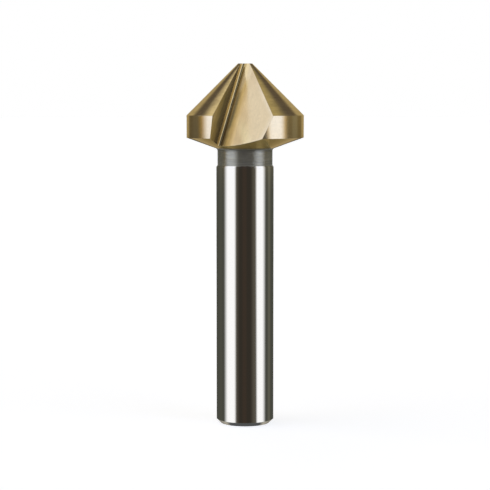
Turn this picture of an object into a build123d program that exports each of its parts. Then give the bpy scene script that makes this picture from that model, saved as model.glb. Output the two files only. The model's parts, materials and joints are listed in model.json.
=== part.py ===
from build123d import *
import os
from math import cos, radians, sin, tan

# Countersink bit, turned and ground from one bar of tool steel. Millimetres and degrees.
# It stands on its shank: the origin is the centre of the shank's end face, the axis is +Z
# and the cutting point is at the top. Seen from above it turns counterclockwise to cut.

# ---------------------------------------------------------------- driving dimensions
overall_length = 63.0
shank_diameter = 10.0
shank_end_bevel = 0.7         # 45 degree bevel round the end of the shank
neck_diameter = 9.6
neck_length = 2.85            # between the head's underside and the shank
shank_shoulder_bevel = 0.25   # height of the bevel from the shank down to the neck
neck_fillet_radius = 0.5      # corner between the neck and the head's underside

head_diameter = 20.5          # across the rim, the largest hole the bit can sink
point_angle = 90.0            # full angle of the cutting cone
point_flat_diameter = 2.6     # blunt end of the cone
rim_height = 3.85             # straight band below the cone
underside_slope = 20.0        # fall of the head's underside towards the neck, from level

flute_count = 3
first_edge_direction = -122.4  # plan angle of the first cutting edge where it meets the rim
rake_angle = 8.4              # hook of the rake face, in plan, against the radius at the edge
rake_face_width = 5.5         # flat of the rake face, in plan, where the cone meets the rim
flute_root_radius = 0.45      # tight round at the bottom of the flute
flute_angle = 76.0            # opening between the rake face and the flute's back wall
wall_hollow_radius = 12.0     # gentle hollow of the back wall beside the root
wall_hollow_turn = 9.0        # how far the wall turns through that hollow before it runs flat
root_slope = 23.8             # lean of the flute's root away from the tool's axis
root_heading = -9.2           # plan direction of that lean, against the edge's radius

land_relief = 0.08            # how far a land falls away, from its edge back to its heel

# ---------------------------------------------------------------- derived sizes
shank_radius = shank_diameter / 2
neck_radius = neck_diameter / 2
head_radius = head_diameter / 2
point_flat_radius = point_flat_diameter / 2
cone_height = (head_radius - point_flat_radius) / tan(radians(point_angle / 2))
rim_top_z = overall_length - cone_height
rim_bottom_z = rim_top_z - rim_height
neck_top_z = rim_bottom_z - (head_radius - neck_radius) * tan(radians(underside_slope))
shank_top_z = neck_top_z - neck_length


def tool_blank():
    """The turned blank before its flutes are cut: shank, neck and head in one piece."""
    shoulder_z = shank_top_z - shank_shoulder_bevel
    outline = Polyline(
        (0, 0),
        (shank_radius - shank_end_bevel, 0),
        (shank_radius, shank_end_bevel),
        (shank_radius, shoulder_z),
        (neck_radius, shank_top_z),
        (neck_radius, neck_top_z),
        (head_radius, rim_bottom_z),
        (head_radius, rim_top_z),
        (point_flat_radius, overall_length),
        (0, overall_length),
        close=True,
    )
    half_section = make_face(outline)
    neck_corner = half_section.vertices().sort_by_distance((neck_radius, neck_top_z))[0]
    half_section = fillet(neck_corner, neck_fillet_radius)
    return revolve(Plane.XZ * half_section, Axis.Z)


def along(angle, length):
    """A step of the given length at a plan angle in degrees."""
    return Vector(cos(radians(angle)) * length, sin(radians(angle)) * length)


def flute_cutter():
    """One flute, as the space swept by a V-shaped wheel that follows a straight sloping path.

    The V is drawn in plan where the cone meets the rim, with the cutting edge on +X. Its
    first wall is the rake face, a tight round follows at the root, and from there the back
    wall rises through a gentle hollow and then runs flat.
    """
    edge = Vector(head_radius, 0)
    wall_reach = head_diameter
    rake_foot = edge - along(rake_angle, rake_face_width)
    root_centre = rake_foot + along(rake_angle + 90, flute_root_radius)
    back_wall_angle = rake_angle + flute_angle
    hollow_angle = back_wall_angle + wall_hollow_turn
    root_middle = root_centre + along((rake_angle + hollow_angle) / 2 + 180, flute_root_radius)
    root_end = root_centre + along(hollow_angle + 90, flute_root_radius)
    hollow_centre = root_end + along(hollow_angle - 90, wall_hollow_radius)
    hollow_middle = hollow_centre + along(hollow_angle - wall_hollow_turn / 2 + 90, wall_hollow_radius)
    back_foot = hollow_centre + along(back_wall_angle + 90, wall_hollow_radius)

    rake_wall = Line(rake_foot + along(rake_angle, wall_reach), rake_foot)
    root_round = ThreePointArc(rake_foot, root_middle, root_end)
    wall_hollow = ThreePointArc(root_end, hollow_middle, back_foot)
    back_wall = Line(back_foot, back_foot + along(back_wall_angle, wall_reach))
    mouth = Line(back_wall @ 1, rake_wall @ 0)
    section = make_face(rake_wall + root_round + wall_hollow + back_wall + mouth)

    outward = along(root_heading, sin(radians(root_slope)))
    path_down = Vector(outward.X, outward.Y, -cos(radians(root_slope)))
    length_above = cone_height / cos(radians(root_slope)) + flute_root_radius
    length_below = (rim_top_z - neck_top_z) / cos(radians(root_slope))
    top_section = Pos(0, 0, rim_top_z) * Pos(*(path_down * -length_above)) * section
    return extrude(top_section, amount=length_above + length_below, dir=path_down)


def land_relief_cutter():
    """What relief grinding takes off one land: nothing at its edge, most at its heel.

    The land is left on a cone and a band of the blank's own form, but a little off centre,
    so that they sink away behind the cutting edge.
    """
    land_angle = 360 / flute_count
    offset_lead = 90 - land_angle / 4
    offset = land_relief / (cos(radians(offset_lead)) - cos(radians(offset_lead + land_angle / 2)))
    band_radius = head_radius - offset * cos(radians(offset_lead))
    cone_reach = band_radius / tan(radians(point_angle / 2))
    ground_band = Cylinder(
        band_radius,
        rim_top_z - neck_top_z,
        align=(Align.CENTER, Align.CENTER, Align.MAX),
    )
    ground_cone = Cone(band_radius, 0, cone_reach, align=(Align.CENTER, Align.CENTER, Align.MIN))
    ground_form = Pos(*along(offset_lead, offset)) * (ground_band + ground_cone)
    sector = Rot(0, 0, -land_angle) * Pos(0, 0, neck_top_z - rim_top_z) * Cylinder(
        head_diameter,
        head_diameter + rim_height,
        arc_size=land_angle,
        align=(Align.NONE, Align.NONE, Align.MIN),
    )
    return Pos(0, 0, rim_top_z) * (sector - ground_form)


def countersink_bit():
    cutters = []
    for index in range(flute_count):
        turn = Rot(0, 0, first_edge_direction + index * 360 / flute_count)
        cutters.append(turn * land_relief_cutter())
        cutters.append(turn * flute_cutter())
    body = tool_blank()
    for cutter in cutters:
        body = body - cutter
    return body


os.makedirs("parts", exist_ok=True)
bit = countersink_bit()
bit.label = "countersink_bit"
export_step(bit, "parts/countersink_bit.step")
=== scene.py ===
import json
from math import cos, radians, sin, tan

import bpy
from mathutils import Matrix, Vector

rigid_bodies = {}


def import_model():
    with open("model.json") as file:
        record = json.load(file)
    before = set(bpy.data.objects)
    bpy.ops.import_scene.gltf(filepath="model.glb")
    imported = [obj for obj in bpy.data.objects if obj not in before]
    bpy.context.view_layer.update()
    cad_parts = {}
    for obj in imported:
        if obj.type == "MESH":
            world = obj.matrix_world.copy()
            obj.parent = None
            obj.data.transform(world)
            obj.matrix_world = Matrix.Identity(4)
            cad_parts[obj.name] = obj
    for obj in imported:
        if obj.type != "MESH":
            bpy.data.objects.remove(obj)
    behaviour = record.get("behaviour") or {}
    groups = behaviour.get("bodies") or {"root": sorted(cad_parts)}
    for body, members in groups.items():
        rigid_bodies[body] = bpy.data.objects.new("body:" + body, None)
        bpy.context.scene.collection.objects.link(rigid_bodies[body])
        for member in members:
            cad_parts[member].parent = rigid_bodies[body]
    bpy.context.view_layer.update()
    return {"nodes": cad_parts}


for left_over in list(bpy.data.objects):
    bpy.data.objects.remove(left_over)

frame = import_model()

MM = 0.001

# ---------------------------------------- sizes of the tool, in millimetres and degrees
OVERALL_LENGTH = 63.0
HEAD_RADIUS = 10.25
POINT_FLAT_RADIUS = 1.3
RIM_HEIGHT = 3.85
APEX_Z = OVERALL_LENGTH + POINT_FLAT_RADIUS      # where the 90 degree cone would end in a point
RIM_TOP_Z = APEX_Z - HEAD_RADIUS
RIM_BOTTOM_Z = RIM_TOP_Z - RIM_HEIGHT
UNDERSIDE_SLOPE = 20.0
COATING_END_Z = 48.34                            # the gold stops where the neck begins
SHANK_TOP_Z = 45.37
SHOULDER_BEVEL = 0.26
NECK_CORNER = 0.55

FLUTE_COUNT = 3
FIRST_EDGE_DIRECTION = -122.4
RAKE_ANGLE = 8.4
RAKE_FACE_WIDTH = 5.5
ROOT_RADIUS = 0.45
FLUTE_ANGLE = 76.0
HOLLOW_RADIUS = 12.0
HOLLOW_TURN = 9.0
ROOT_SLOPE = 23.8
ROOT_HEADING = -9.2
SECTOR_START = -15.0                             # a flute and its lands lie from here to 105 degrees

# ---------------------------------------- camera and floor
PHOTO_SIDE_PX = 490
FOCAL_PX = 1651.5
SENSOR_MM = 36.0
CAMERA_DISTANCE = 288.25
CAMERA_HEIGHT = 57.6
AIM_HEIGHT = 31.38
CLIP_START_M = 0.01
CLIP_END_M = 20.0
FLOOR_HALF_SIDE = 4000.0
FLOOR_PAINT = (0.8, 0.8, 0.8, 1.0)
FLOOR_GLOW = (0.672, 0.686, 0.721, 1.0)          # with the light that falls on the floor: white

# ---------------------------------------- the studio, as the metal sees it
FRONT = (0.0388, 0.0324, 0.0249)
FRONT_STRIPE = (0.0500, 0.0364, 0.0268)
FRONT_HIGH = (0.075, 0.082, 0.14)
SIDE_LOW = (0.0725, 0.0740, 0.0600)
SIDE_LEFT = (0.150, 0.124, 0.083)
SIDE_RIGHT = (0.235, 0.190, 0.102)
SIDE_HIGH = (0.118, 0.102, 0.088)
SIDE_STRIPE = (0.30, 0.28, 0.20)
BACK_WALL = (0.47, 0.425, 0.315)
CEILING_FRONT = (0.44, 0.45, 0.42)
CEILING_LEFT = (0.82, 0.735, 0.51)
CEILING_RIGHT = (0.46, 0.40, 0.21)
OVERHEAD = (0.12, 0.115, 0.10)
TABLE_BACK = (0.45, 0.42, 0.36)
TABLE_BACK_LOW = (0.22, 0.205, 0.175)
TABLE_FRONT = (0.45, 0.42, 0.35)
UNDERFOOT = (0.090, 0.095, 0.098)
TALL_LIGHT = (1.175, 1.179, 1.205)
TALL_LIGHT_HIGH = (1.11, 1.20, 1.54)
LIGHT_FRINGE = (0.66, 0.45, 0.12)
LIGHT_TAIL = (0.73, 0.67, 0.52)
SQUARE_LIGHT = (0.91, 0.90, 0.92)
WHITE = (1.0, 1.0, 1.0)
HORIZON = (-1.85, -1.70)                         # the head sees the room over it, the shank under it

# ---------------------------------------- the tool's finishes, and the painted shade and highlights on its head and neck
SHANK_STEEL = (0.82, 0.81, 0.78)
NECK_GREY = (0.43, 0.422, 0.350)
# the darker grey for the top of the neck is painted shade under the head
NECK_GREY_TOP_SHADE = (0.264, 0.259, 0.211)
NECK_SHEEN = (0.60, 0.75, 1.00)
LAND_GOLD = (0.80, 0.68, 0.465)
LAND_SHEEN = (0.94, 0.82, 0.55)
# the deeper, more saturated gold under the head is a shaded copy of the coating: painted shade
UNDERSIDE_GOLD_SHADED = (0.82, 0.655, 0.34)
# the paler gold of the rake face is painted light
RAKE_GOLD_LIT = (0.87, 0.735, 0.50)
# the dark golds of the flute's root are painted shade in the crease, deepest low down
ROOT_GOLD_SHADE = (0.46, 0.35, 0.16)
ROOT_GOLD_SHADE_HIGH = (0.60, 0.46, 0.21)
WALL_GOLD = (0.81, 0.68, 0.455)
# the paler gold on the wall by the heel is a painted highlight
WALL_GOLD_HEEL_HIGHLIGHT = (0.89, 0.79, 0.60)
# the darker gold high on the wall, near the point, is painted shade
WALL_GOLD_HIGH_SHADE = (0.75, 0.61, 0.40)
# the hollow beside the root is painted: darker gold as painted shade, paler golds as painted
# highlights in a band low down and near the point
HOLLOW_GOLD_SHADE = (0.73, 0.56, 0.24)
HOLLOW_GOLD_DEEP_SHADE = (0.35, 0.31, 0.18)
HOLLOW_GOLD_HIGHLIGHT_BAND = (0.90, 0.81, 0.56)
HOLLOW_GOLD_POINT_HIGHLIGHT = (0.92, 0.76, 0.45)

SHANK_ROUGHNESS = 0.08
NECK_ROUGHNESS = 0.16
LAND_ROUGHNESS = 0.14
RAKE_ROUGHNESS = 0.20
HOLLOW_ROUGHNESS = 0.10
WALL_ROUGHNESS = 0.22
NECK_METALLIC = 0.57                             # the neck is partly matt; the extra matt at its top, with the darker grey there, is painted shade under the head
NECK_TOP_METALLIC = 0.30

STREAK_HEIGHT = 0.0022                           # heights of the fine marks, in millimetres
LAND_RING_HEIGHT = 0.0016
NECK_RING_HEIGHT = 0.060
SHANK_RING_HEIGHT = 0.0006
EDGE_SOFTNESS = 0.05


class Graph:
    """Adds nodes to a node tree. Most methods take sockets or plain values and return a socket."""

    def __init__(self, tree):
        self.tree = tree
        tree.nodes.clear()

    def feed(self, socket, value):
        if isinstance(value, bpy.types.NodeSocket):
            self.tree.links.new(value, socket)
        else:
            socket.default_value = value

    def add(self, kind, **settings):
        node = self.tree.nodes.new(kind)
        for name, value in settings.items():
            setattr(node, name, value)
        return node

    def math(self, operation, first, second=0.0):
        node = self.add("ShaderNodeMath", operation=operation)
        self.feed(node.inputs[0], first)
        self.feed(node.inputs[1], second)
        return node.outputs[0]

    def product(self, *factors):
        result = factors[0]
        for factor in factors[1:]:
            result = self.math("MULTIPLY", result, factor)
        return result

    def total(self, *terms):
        result = terms[0]
        for term in terms[1:]:
            result = self.math("ADD", result, term)
        return result

    def weigh(self, first, first_weight, second, second_weight, constant=0.0):
        """first * first_weight + second * second_weight + constant"""
        return self.total(
            self.product(first, first_weight),
            self.product(second, second_weight),
            constant,
        )

    def length(self, x, y):
        """The length of a vector in plan."""
        return self.math("SQRT", self.total(self.product(x, x), self.product(y, y)))

    def step(self, value, start, end, low=0.0, high=1.0):
        """A smooth change from low to high while the value goes from start to end."""
        node = self.add("ShaderNodeMapRange", interpolation_type="SMOOTHSTEP", clamp=True)
        for socket, given in zip(node.inputs, (value, start, end, low, high)):
            self.feed(socket, given)
        return node.outputs[0]

    def fall(self, value, start, end):
        """1 before start, 0 after end."""
        return self.step(value, start, end, 1.0, 0.0)

    def band(self, value, start, end, soft_start, soft_end):
        """1 between start and end, 0 outside, with soft sides."""
        rise = self.step(value, start - soft_start / 2, start + soft_start / 2)
        fall = self.fall(value, end - soft_end / 2, end + soft_end / 2)
        return self.product(rise, fall)

    def near(self, value, width):
        """1 where value is 0, falling to 0 at width to either side."""
        return self.fall(self.math("ABSOLUTE", value), width * 0.5, width)

    def mix(self, share, first, second):
        """Mixes two colours."""
        node = self.add("ShaderNodeMix", data_type="RGBA")
        self.feed(node.inputs["Factor"], share)
        for socket, given in ((node.inputs[6], first), (node.inputs[7], second)):
            self.feed(socket, given if isinstance(given, bpy.types.NodeSocket) else (*given, 1.0))
        return node.outputs[2]

    def blend(self, share, first, second):
        """Mixes two plain numbers."""
        node = self.add("ShaderNodeMix", data_type="FLOAT")
        self.feed(node.inputs["Factor"], share)
        self.feed(node.inputs[2], first)
        self.feed(node.inputs[3], second)
        return node.outputs[0]

    def vector(self, x, y, z):
        node = self.add("ShaderNodeCombineXYZ")
        for socket, given in zip(node.inputs, (x, y, z)):
            self.feed(socket, given)
        return node.outputs[0]

    def split(self, vector):
        node = self.add("ShaderNodeSeparateXYZ")
        self.feed(node.inputs[0], vector)
        return node.outputs

    def scaled(self, vector, factor):
        node = self.add("ShaderNodeVectorMath", operation="SCALE")
        self.feed(node.inputs[0], vector)
        self.feed(node.inputs["Scale"], factor)
        return node.outputs[0]

    def noise(self, position, scale=1.0, detail=3.0, roughness=0.5):
        """Noise around 0, from about -0.5 to 0.5."""
        node = self.add("ShaderNodeTexNoise")
        self.feed(node.inputs["Vector"], position)
        node.inputs["Scale"].default_value = scale
        node.inputs["Detail"].default_value = detail
        node.inputs["Roughness"].default_value = roughness
        return self.math("SUBTRACT", node.outputs["Fac"], 0.5)


def room_colour(g, azimuth, elevation):
    """The dim room that the metal sees: front, sides, back wall, ceiling and table top."""
    side = g.math("ABSOLUTE", azimuth)
    on_right = g.step(azimuth, -20, 20)
    on_left = g.blend(on_right, 1.0, 0.0)

    # in front: warm and dark below eye level with a faint brown stripe, bluish and dark above it
    front = g.mix(g.band(azimuth, -10, 6, 8, 8), FRONT, FRONT_STRIPE)
    front = g.mix(g.step(elevation, 4, 14), front, FRONT_HIGH)

    # the sides: olive below eye level, warmer and lighter above it, with one paler stripe
    sides = g.mix(on_right, SIDE_LEFT, SIDE_RIGHT)
    sides = g.mix(g.step(elevation, 22, 32), sides, SIDE_HIGH)
    sides = g.mix(g.step(elevation, -3.5, 0.0), SIDE_LOW, sides)
    stripe = g.product(
        g.band(side, 106, 124, 8, 8),
        g.step(elevation, -4, 1, 0.22, 0.8),
        g.blend(on_right, 0.2, 1.0),
    )
    sides = g.mix(stripe, sides, SIDE_STRIPE)
    colour = g.mix(g.step(side, 50, 66), front, sides)

    # the wall behind, low over the floor
    wall = g.product(g.step(side, 137, 152), g.band(elevation, -1.8, 28, 0.2, 10))
    colour = g.mix(wall, colour, BACK_WALL)

    # the ceiling: lowest in front on the left, warm at the sides, and dark straight above
    low_front = g.product(g.step(elevation, 31, 37), g.step(azimuth, 0, -27))
    front_ceiling = g.math("MAXIMUM", g.step(elevation, 44, 52), low_front)
    colour = g.mix(g.product(front_ceiling, g.step(side, 80, 60)), colour, CEILING_FRONT)
    beside = g.step(side, 60, 80)
    colour = g.mix(g.product(g.step(elevation, 41, 54), beside, on_left), colour, CEILING_LEFT)
    colour = g.mix(g.product(g.step(elevation, 42, 59), beside, on_right), colour, CEILING_RIGHT)
    colour = g.mix(g.step(elevation, 66, 76), colour, OVERHEAD)

    # under eye level: a warm table top all round, and dark grey straight below
    table_back = g.mix(g.step(elevation, -14, -34), TABLE_BACK, TABLE_BACK_LOW)
    behind = g.product(g.step(side, 120, 150), g.step(elevation, -11.5, -14))
    colour = g.mix(behind, colour, table_back)
    before = g.product(g.step(side, 166, 150), g.step(elevation, -14, -32))
    colour = g.mix(before, colour, TABLE_FRONT)
    return g.mix(g.step(elevation, -44, -56), colour, UNDERFOOT)


def add_lights(g, azimuth, elevation, colour):
    """Two tall lights left and right of the camera, and a square one high on the left.

    Over the horizon, where the coated head looks, the tall lights are bluer and have golden fringes.
    """
    side = g.math("ABSOLUTE", azimuth)
    over = g.step(elevation, *HORIZON)
    just_over = g.product(over, g.fall(elevation, 0, 3))
    light = g.mix(over, TALL_LIGHT, TALL_LIGHT_HIGH)

    left_height = g.band(elevation, -34, 24, 6, 8)
    left_fringe = g.product(over, g.band(azimuth, -96, -60, 28, 10), left_height)
    colour = g.mix(left_fringe, colour, LIGHT_FRINGE)
    left = g.product(
        g.step(azimuth, g.blend(over, -97, -96), g.blend(over, -72, -75)),
        g.fall(azimuth, -44.5, -33.5),
        left_height,
    )
    colour = g.mix(left, colour, light)

    right_fringe = g.product(just_over, g.band(azimuth, 45, 87, 9, 12))
    colour = g.mix(right_fringe, colour, LIGHT_FRINGE)
    slanted = g.weigh(azimuth, 1.0, elevation, 0.40)
    right = g.product(
        g.step(slanted, g.blend(just_over, 38.5, 45.5), g.blend(just_over, 49.5, 54.5)),
        g.fall(azimuth, 73, g.blend(over, 95, 86)),
        g.band(elevation, -34, 38, 6, 6),
    )
    colour = g.mix(right, colour, light)

    tails = g.product(g.step(side, 20, 40), g.fall(side, 40, 50), 0.10)
    colour = g.mix(tails, colour, LIGHT_TAIL)
    square = g.product(g.band(azimuth, -117, -58, 8, 10), g.band(elevation, 23, 50, 8, 8))
    return g.mix(square, colour, SQUARE_LIGHT)


def build_world():
    """A studio: white to the camera, and to the metal a dim room with soft lights.

    Azimuth is 0 towards the camera and grows to the camera's right, elevation grows upwards,
    both in degrees.
    """
    world = bpy.data.worlds.new("studio")
    bpy.context.scene.world = world
    world.use_nodes = True
    g = Graph(world.node_tree)
    x, y, z = g.split(g.add("ShaderNodeTexCoord").outputs["Generated"])
    azimuth = g.math("DEGREES", g.math("ARCTAN2", x, g.product(y, -1.0)))
    elevation = g.math("DEGREES", g.math("ARCSINE", z))
    room = room_colour(g, azimuth, elevation)

    seen_by_metal = g.add("ShaderNodeBackground")
    g.feed(seen_by_metal.inputs["Color"], add_lights(g, azimuth, elevation, room))
    seen_by_camera = g.add("ShaderNodeBackground")
    seen_by_camera.inputs["Color"].default_value = (*WHITE, 1.0)
    chooser = g.add("ShaderNodeMixShader")
    g.feed(chooser.inputs[0], g.add("ShaderNodeLightPath").outputs["Is Camera Ray"])
    g.feed(chooser.inputs[1], seen_by_metal.outputs[0])
    g.feed(chooser.inputs[2], seen_by_camera.outputs[0])
    g.feed(g.add("ShaderNodeOutputWorld").inputs["Surface"], chooser.outputs[0])


def build_floor():
    """A pale floor that shows white to the camera and keeps a faint shadow of the tool."""
    half = FLOOR_HALF_SIDE * MM
    corners = [(-half, -half, 0), (half, -half, 0), (half, half, 0), (-half, half, 0)]
    mesh = bpy.data.meshes.new("floor")
    mesh.from_pydata(corners, [], [(0, 1, 2, 3)])
    floor = bpy.data.objects.new("floor", mesh)
    bpy.context.scene.collection.objects.link(floor)
    material = bpy.data.materials.new("pale_floor")
    material.use_nodes = True
    g = Graph(material.node_tree)
    glow = g.add("ShaderNodeEmission")
    glow.inputs["Color"].default_value = FLOOR_GLOW
    g.feed(glow.inputs["Strength"], g.add("ShaderNodeLightPath").outputs["Is Camera Ray"])
    matt = g.add("ShaderNodeBsdfDiffuse")
    matt.inputs["Color"].default_value = FLOOR_PAINT
    both = g.add("ShaderNodeAddShader")
    g.feed(both.inputs[0], glow.outputs[0])
    g.feed(both.inputs[1], matt.outputs[0])
    g.feed(g.add("ShaderNodeOutputMaterial").inputs["Surface"], both.outputs[0])
    mesh.materials.append(material)
    floor.visible_glossy = False                 # the metal sees the studio's table top instead


def build_camera():
    camera_data = bpy.data.cameras.new("camera")
    camera_data.sensor_width = SENSOR_MM
    camera_data.lens = FOCAL_PX * SENSOR_MM / PHOTO_SIDE_PX
    camera_data.clip_start = CLIP_START_M
    camera_data.clip_end = CLIP_END_M
    camera = bpy.data.objects.new("camera", camera_data)
    bpy.context.scene.collection.objects.link(camera)
    place = Vector((0.0, -CAMERA_DISTANCE, CAMERA_HEIGHT)) * MM
    aim = Vector((0.0, 0.0, AIM_HEIGHT)) * MM
    camera.location = place
    camera.rotation_euler = (aim - place).to_track_quat("-Z", "Y").to_euler()
    bpy.context.scene.camera = camera


def plan_step(angle, length=1.0):
    """A step in plan, at an angle in degrees."""
    return Vector((cos(radians(angle)) * length, sin(radians(angle)) * length))


def flute_places(g, x, y, z, radius):
    """Where a point lies in the flute of its own third of the tool.

    The point is turned back to the first flute and slid along the flute's path to the
    level where the cone meets the rim. There the rake face and the back wall are two
    straight lines: gaps are how far it stands in front of them, runs how far along.
    """
    third = 360.0 / FLUTE_COUNT
    angle = g.math("DEGREES", g.math("ARCTAN2", y, x))
    turned = g.math("SUBTRACT", angle, FIRST_EDGE_DIRECTION + SECTOR_START)
    wrapped = g.math("ADD", g.math("FLOORED_MODULO", turned, third), SECTOR_START)
    turn = g.math("RADIANS", wrapped)
    below = g.math("SUBTRACT", RIM_TOP_Z, z)
    lean = plan_step(ROOT_HEADING, tan(radians(ROOT_SLOPE)))
    plan_x = g.weigh(g.product(radius, g.math("COSINE", turn)), 1.0, below, -lean.x)
    plan_y = g.weigh(g.product(radius, g.math("SINE", turn)), 1.0, below, -lean.y)

    rake_foot = Vector((HEAD_RADIUS, 0.0)) - plan_step(RAKE_ANGLE, RAKE_FACE_WIDTH)
    root_centre = rake_foot + plan_step(RAKE_ANGLE + 90, ROOT_RADIUS)
    wall_angle = RAKE_ANGLE + FLUTE_ANGLE
    root_end = root_centre + plan_step(wall_angle + HOLLOW_TURN + 90, ROOT_RADIUS)
    hollow_centre = root_end + plan_step(wall_angle + HOLLOW_TURN - 90, HOLLOW_RADIUS)
    wall_foot = hollow_centre + plan_step(wall_angle + 90, HOLLOW_RADIUS)

    def across(foot, angle):
        step = plan_step(angle)
        return g.weigh(plan_x, step.x, plan_y, step.y, -foot.dot(step))

    root_x = g.math("SUBTRACT", plan_x, root_centre.x)
    root_y = g.math("SUBTRACT", plan_y, root_centre.y)
    return {
        "plan_x": plan_x,
        "plan_y": plan_y,
        "rake_gap": across(rake_foot, RAKE_ANGLE + 90),
        "rake_run": across(rake_foot, RAKE_ANGLE),
        "wall_gap": across(wall_foot, wall_angle - 90),
        "wall_run": across(wall_foot, wall_angle),
        "root_distance": g.length(root_x, root_y),
    }


def depth_under_blank(g, z, radius):
    """How far a point of the head lies under the surface of the turned blank."""
    slope = tan(radians(UNDERSIDE_SLOPE))
    underside_radius = g.total(g.product(z, 1 / slope), HEAD_RADIUS - RIM_BOTTOM_Z / slope)
    land_radius = g.math("MINIMUM", g.math("SUBTRACT", APEX_Z, z), HEAD_RADIUS)
    return g.math("SUBTRACT", g.math("MINIMUM", land_radius, underside_radius), radius)


def surface_masks(g, z, flute, depth):
    """Masks that tell the tool's surfaces apart."""
    gold = g.step(z, COATING_END_Z - 0.08, COATING_END_Z + 0.08)
    rake = g.product(g.near(flute["rake_gap"], 0.03), g.step(flute["rake_run"], -0.02, 0.0))
    wall = g.product(g.near(flute["wall_gap"], 0.03), g.step(flute["wall_run"], -0.02, 0.0))
    near_root = g.step(flute["root_distance"], ROOT_RADIUS + 0.25, ROOT_RADIUS + 0.05)
    flat_side = g.math("MAXIMUM", rake, wall)
    in_flute = g.product(gold, g.math("MAXIMUM", flat_side, g.step(depth, 0.22, 0.28)))
    return {
        "shank": g.step(z, SHANK_TOP_Z, SHANK_TOP_Z - 0.02),
        "neck": g.band(z, SHANK_TOP_Z - 0.01, COATING_END_Z, 0.02, 0.16),
        "neck_top_shade": g.step(z, COATING_END_Z - 0.75, COATING_END_Z - 0.15),
        "gold": gold,
        "rake": rake,
        "wall": wall,
        "root": g.product(near_root, g.step(depth, 0.2, 0.4)),
        "flute": in_flute,
        "land": g.product(gold, g.math("SUBTRACT", 1.0, in_flute)),
    }


def gold_colour(g, z, flute, depth, masks):
    """The coating's colour without its grain. Inside a flute and under the head it carries painted
    shade and painted highlights.
    """
    wall_run = flute["wall_run"]
    off_rake = g.step(flute["rake_gap"], 0.1, 0.5)

    # a painted highlight on the wall by the heel
    heel_highlight = g.product(masks["wall"], g.step(depth, 1.1, 0.0), 0.7)
    colour = g.mix(heel_highlight, WALL_GOLD, WALL_GOLD_HEEL_HIGHLIGHT)

    # the hollow beside the root: painted shade, darkest in the middle of its length, with a painted
    # highlight as a pale band low down and another near the point
    shade_beside_root = g.product(g.step(wall_run, 1.0, -1.0), g.step(z, 61, 59), off_rake)
    colour = g.mix(shade_beside_root, colour, HOLLOW_GOLD_SHADE)
    deepest_shade = g.product(g.step(wall_run, -0.5, -1.6), g.band(z, 51.8, 58, 1.6, 2), off_rake)
    colour = g.mix(deepest_shade, colour, HOLLOW_GOLD_DEEP_SHADE)
    band_slant, band_level = 0.63, 53.65
    slanted_run = g.weigh(wall_run, 1.0, z, band_slant, -band_slant * band_level)
    highlight_band = g.product(off_rake, g.band(slanted_run, -0.2, 1.7, 1.6, 1.8), g.step(z, 54.5, 51.0))
    colour = g.mix(highlight_band, colour, HOLLOW_GOLD_HIGHLIGHT_BAND)
    point_highlight = g.product(g.step(z, 57.5, 59.5), g.step(wall_run, -0.4, -1.2), off_rake)
    colour = g.mix(point_highlight, colour, HOLLOW_GOLD_POINT_HIGHLIGHT)

    # painted shade high on the wall, near the point
    colour = g.mix(g.product(masks["wall"], g.step(z, 57, 61)), colour, WALL_GOLD_HIGH_SHADE)
    # painted light on the rake face
    colour = g.mix(masks["rake"], colour, RAKE_GOLD_LIT)
    # painted shade in the root's crease, deepest low down
    root = g.mix(g.step(z, 50.5, 56.5), ROOT_GOLD_SHADE, ROOT_GOLD_SHADE_HIGH)
    colour = g.mix(masks["root"], colour, root)
    # under the head, a shaded copy of the coating: painted shade
    outside = g.mix(g.step(z, RIM_BOTTOM_Z, RIM_BOTTOM_Z - 0.1), LAND_GOLD, UNDERSIDE_GOLD_SHADED)
    return g.mix(masks["flute"], outside, colour)


def surface_normal(g, x, y, z, height):
    """Slightly softened edges, with the fine marks on them.

    The small bevel at the shoulder and the rounded corner under the head are shaded as the
    ends of the upright sides beside them: the photograph shows no line of light there.
    """
    edges = g.add("ShaderNodeBevel", samples=4)
    edges.inputs["Radius"].default_value = EDGE_SOFTNESS * MM
    outward = g.add("ShaderNodeVectorMath", operation="NORMALIZE")
    g.feed(outward.inputs[0], g.vector(x, y, 0.0))
    corners = g.math(
        "MAXIMUM",
        g.band(z, SHANK_TOP_Z - SHOULDER_BEVEL, SHANK_TOP_Z + 0.03, 0.02, 0.02),
        g.band(z, COATING_END_Z - NECK_CORNER, COATING_END_Z - 0.16, 0.1, 0.1),
    )
    normal = g.add("ShaderNodeMix", data_type="VECTOR")
    g.feed(normal.inputs["Factor"], corners)
    g.feed(normal.inputs[4], edges.outputs[0])
    g.feed(normal.inputs[5], outward.outputs[0])
    bump = g.add("ShaderNodeBump")
    bump.inputs["Strength"].default_value = 1.0
    bump.inputs["Distance"].default_value = MM
    g.feed(bump.inputs["Height"], height)
    g.feed(bump.inputs["Normal"], normal.outputs[1])
    return bump.outputs[0]


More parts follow.
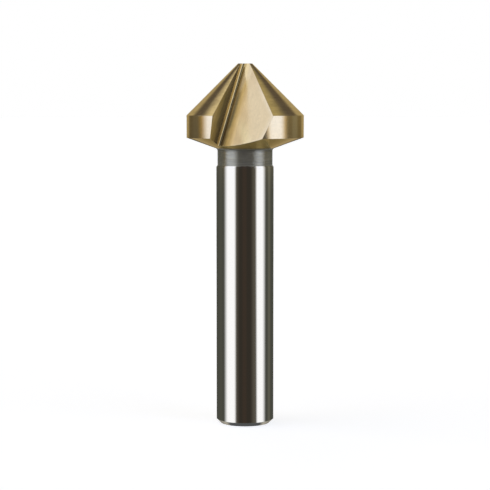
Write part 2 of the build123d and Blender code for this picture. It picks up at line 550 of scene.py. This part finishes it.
def tool_steel():
    """Polished shank, turned grey neck and gold-coated head, told apart by place on the tool."""
    material = bpy.data.materials.new("tool_steel_finish")
    material.use_nodes = True
    g = Graph(material.node_tree)
    place = g.scaled(g.add("ShaderNodeTexCoord").outputs["Object"], 1.0 / MM)
    x, y, z = g.split(place)
    radius = g.length(x, y)
    flute = flute_places(g, x, y, z, radius)
    depth = depth_under_blank(g, z, radius)
    masks = surface_masks(g, z, flute, depth)
    gold, neck, rake, land = masks["gold"], masks["neck"], masks["rake"], masks["land"]

    # ---- textures: streaks along a flute's path, rings round everything turned or relief ground
    streak_place = g.vector(
        g.product(flute["plan_x"], 2.6), g.product(flute["plan_y"], 2.6), g.product(z, 0.30))
    streaks = g.noise(streak_place, detail=4.0, roughness=0.6)
    ring_place = g.vector(g.product(x, 0.35), g.product(y, 0.35), g.product(z, 4.2))
    rings = g.noise(ring_place, detail=4.0, roughness=0.6)
    specks = g.noise(place, 1.7, detail=3.0, roughness=0.6)
    mottle = g.noise(place, 0.55, detail=3.0, roughness=0.55)

    # ---- colour
    # the neck's top, just under the head, is painted a darker grey: painted shade under the head
    neck_colour = g.mix(masks["neck_top_shade"], NECK_GREY, NECK_GREY_TOP_SHADE)
    steel_colour = g.mix(neck, SHANK_STEEL, neck_colour)
    colour = g.mix(gold, steel_colour, gold_colour(g, z, flute, depth, masks))
    streak_tint = g.product(streaks, g.blend(rake, 0.12, 0.80), masks["flute"])
    ring_share = g.step(z, RIM_TOP_Z - 0.1, RIM_TOP_Z + 0.1, 0.12, 0.60)
    gold_tint = g.total(
        1.0, g.product(mottle, 0.12), g.product(specks, 0.16),
        streak_tint, g.product(rings, land, ring_share))
    steel_tint = g.total(1.0, g.product(rings, neck, 0.85))

    # ---- roughness
    wall_roughness = g.step(flute["wall_run"], -1.0, 2.0, HOLLOW_ROUGHNESS, WALL_ROUGHNESS)
    flute_roughness = g.blend(rake, wall_roughness, RAKE_ROUGHNESS)
    head_roughness = g.blend(masks["flute"], LAND_ROUGHNESS, flute_roughness)
    gold_roughness = g.total(head_roughness, g.product(mottle, 0.05))
    steel_roughness = g.blend(neck, SHANK_ROUGHNESS, NECK_ROUGHNESS)

    # ---- height in millimetres
    height = g.total(
        g.product(streaks, masks["flute"], STREAK_HEIGHT),
        g.product(rings, land, LAND_RING_HEIGHT),
        g.product(rings, neck, NECK_RING_HEIGHT),
        g.product(rings, masks["shank"], SHANK_RING_HEIGHT),
    )

    neck_metallic = g.blend(masks["neck_top_shade"], NECK_METALLIC, NECK_TOP_METALLIC)
    sheen = g.mix(neck, g.mix(land, WHITE, LAND_SHEEN), NECK_SHEEN)
    shader = g.add("ShaderNodeBsdfPrincipled")
    g.feed(shader.inputs["Base Color"], g.scaled(colour, g.blend(gold, steel_tint, gold_tint)))
    g.feed(shader.inputs["Metallic"], g.blend(neck, 1.0, neck_metallic))
    g.feed(shader.inputs["Specular Tint"], sheen)
    g.feed(shader.inputs["Roughness"], g.blend(gold, steel_roughness, gold_roughness))
    g.feed(shader.inputs["Normal"], surface_normal(g, x, y, z, height))
    g.feed(g.add("ShaderNodeOutputMaterial").inputs["Surface"], shader.outputs[0])
    return material


def dress_tool():
    bit = frame["nodes"]["countersink_bit"]
    bit.data.materials[0] = tool_steel()


build_world()
build_floor()
build_camera()
dress_tool()

bpy.context.scene.view_settings.view_transform = "Standard"
